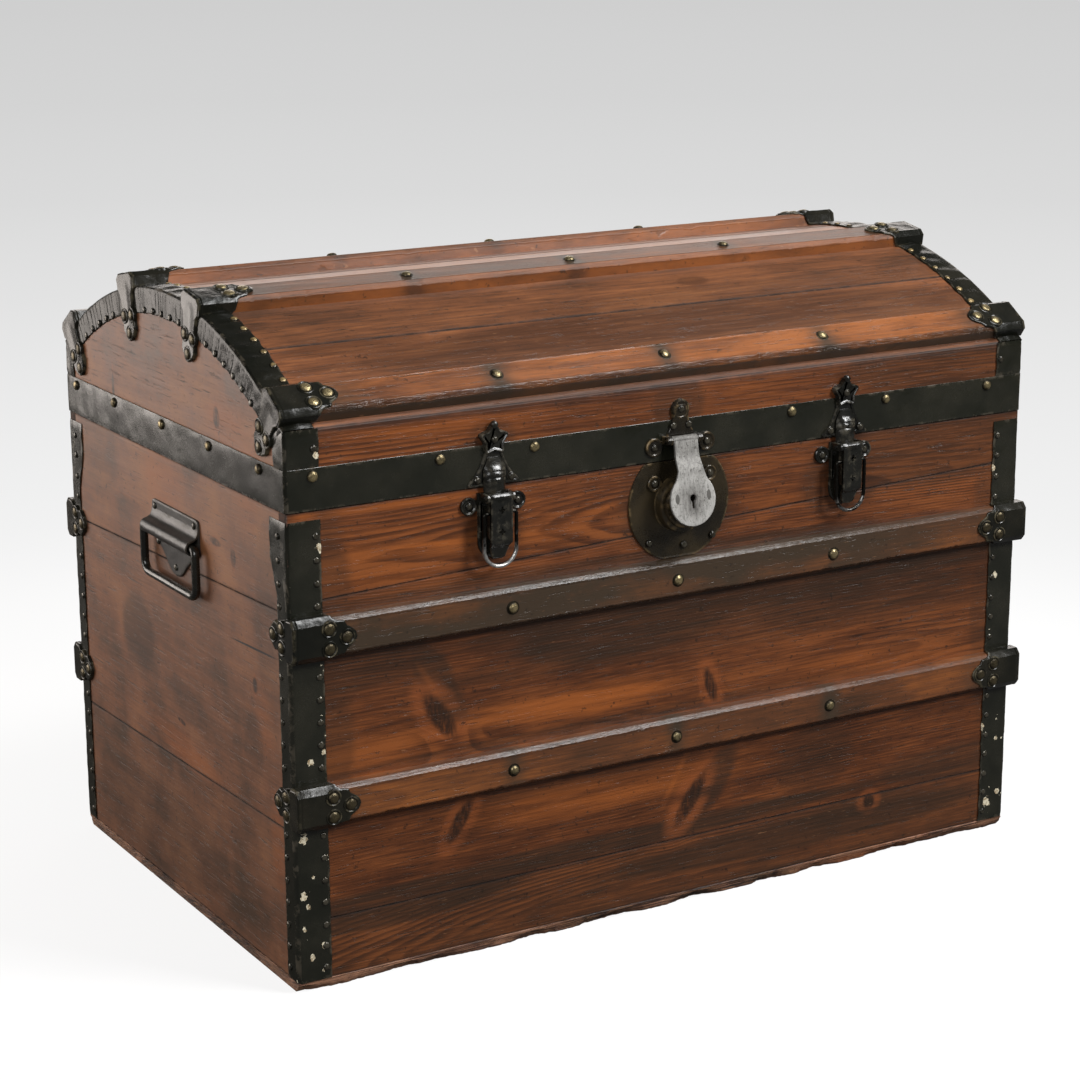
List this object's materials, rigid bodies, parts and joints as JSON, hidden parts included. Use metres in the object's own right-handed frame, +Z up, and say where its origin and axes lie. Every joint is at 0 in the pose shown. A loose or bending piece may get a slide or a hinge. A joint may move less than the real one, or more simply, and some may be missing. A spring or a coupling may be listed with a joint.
{
  "type": "dome top trunk",
  "caption": "Dome-top storage trunk of stained boards with wooden slats, iron corners, a hinged lid, a hasp lock, draw latches and swinging end handles.",
  "frame": {"origin": "on the floor, under the middle of the box", "axes": "+X along the front towards the right end, the front faces -Y, +Z up"},
  "size_m": [0.841, 0.5553, 0.6113],
  "materials": {
    "case_wood": "stained pine under worn satin lacquer",
    "dome_wood": "stained pine under worn satin lacquer",
    "slat_wood": "stained slat, bright along its worn bevels",
    "bottom_wood": "rough sawn and chipped",
    "sheet_iron": "black enamel, dented and worn",
    "cast_clamp": "black enamel on castings",
    "hardware_iron": "black enamel, worn to bronze at edges",
    "lock_bronze": "dark bronze finish, worn",
    "hasp_steel": "bare steel, lightly scratched",
    "wire_steel": "dark tarnished wire",
    "plain_steel": "dull steel",
    "rivet_brass": "tarnished brass heads",
    "nail_brass": "dark tarnished tack heads"
  },
  "bodies": {
    "box": {"back_boards": "case_wood", "back_slat_lower": "slat_wood", "back_slat_upper": "slat_wood", "bottom_boards": "bottom_wood", "box_hardware_nails": "nail_brass", "box_slat_clamps": "cast_clamp", "box_slat_rivets": "rivet_brass", "corner_iron_front_left": "sheet_iron", "corner_iron_front_right": "sheet_iron", "corner_iron_rear_left": "sheet_iron", "corner_iron_rear_right": "sheet_iron", "corner_iron_tacks": "nail_brass", "front_boards": "case_wood", "front_slat_lower": "slat_wood", "front_slat_upper": "slat_wood", "handle_plate_left": "hardware_iron", "handle_plate_right": "hardware_iron", "hinge_box_leaves": "hardware_iron", "hinge_pins": "plain_steel", "latch_base_left": "hardware_iron", "latch_base_right": "hardware_iron", "left_end_boards": "case_wood", "lock_case": "lock_bronze", "lock_plate": "lock_bronze", "right_end_boards": "case_wood"},
    "lid": {"dome_binding_left": "sheet_iron", "dome_binding_right": "sheet_iron", "dome_boards": "dome_wood", "hasp_pin": "plain_steel", "hasp_plate": "hardware_iron", "hinge_lid_leaves": "hardware_iron", "latch_keeper_left": "hardware_iron", "latch_keeper_right": "hardware_iron", "lid_back_rail": "case_wood", "lid_band": "sheet_iron", "lid_band_rivets": "rivet_brass", "lid_corner_irons": "sheet_iron", "lid_end_left": "case_wood", "lid_end_right": "case_wood", "lid_front_rail": "case_wood", "lid_hardware_nails": "nail_brass", "lid_slat_clamps": "cast_clamp", "lid_slat_front": "slat_wood", "lid_slat_rear": "slat_wood", "lid_slat_rivets": "rivet_brass", "lid_slat_upper_front": "slat_wood", "lid_slat_upper_rear": "slat_wood", "lid_tacks": "nail_brass"},
    "hasp": {"hasp": "hasp_steel"},
    "latch_lever_left": {"latch_lever_left": "hardware_iron"},
    "latch_lever_right": {"latch_lever_right": "hardware_iron"},
    "latch_link_left": {"latch_link_left": "wire_steel"},
    "latch_link_right": {"latch_link_right": "wire_steel"},
    "handle_bail_left": {"handle_bail_left": "wire_steel"},
    "handle_bail_right": {"handle_bail_right": "wire_steel"},
    "lock_bolt": {"lock_bolt": "plain_steel"}
  },
  "joints": [
    {"name": "lid_hinge", "type": "hinge", "parent": "box", "child": "lid", "pos_m": [0, 0.2605, 0.44225], "axis": [-1, 0, 0], "range_deg": [0, 105]},
    {"name": "hasp_hinge", "type": "hinge", "parent": "lid", "child": "hasp", "pos_m": [-0.004, -0.2605, 0.462], "axis": [-1, 0, 0], "range_deg": [-8.2, 142]},
    {"name": "latch_lever_left_hinge", "type": "hinge", "parent": "box", "child": "latch_lever_left", "pos_m": [-0.203, -0.266, 0.434], "axis": [1, 0, 0], "range_deg": [-110, 0]},
    {"name": "latch_link_left_hinge", "type": "hinge", "parent": "latch_lever_left", "child": "latch_link_left", "pos_m": [-0.203, -0.266, 0.42], "axis": [-1, 0, 0], "range_deg": [0, 180]},
    {"name": "latch_lever_right_hinge", "type": "hinge", "parent": "box", "child": "latch_lever_right", "pos_m": [0.185, -0.266, 0.434], "axis": [1, 0, 0], "range_deg": [-110, 0]},
    {"name": "latch_link_right_hinge", "type": "hinge", "parent": "latch_lever_right", "child": "latch_link_right", "pos_m": [0.185, -0.266, 0.42], "axis": [-1, 0, 0], "range_deg": [0, 180]},
    {"name": "handle_bail_left_hinge", "type": "hinge", "parent": "box", "child": "handle_bail_left", "pos_m": [-0.4135, -0.013, 0.371], "axis": [0, 1, 0], "range_deg": [0, 180]},
    {"name": "handle_bail_right_hinge", "type": "hinge", "parent": "box", "child": "handle_bail_right", "pos_m": [0.4135, -0.013, 0.371], "axis": [0, -1, 0], "range_deg": [0, 180]},
    {"name": "lock_bolt_slide", "type": "slide", "parent": "box", "child": "lock_bolt", "axis": [1, 0, 0], "range_m": [0, 0.004]}
  ]
}
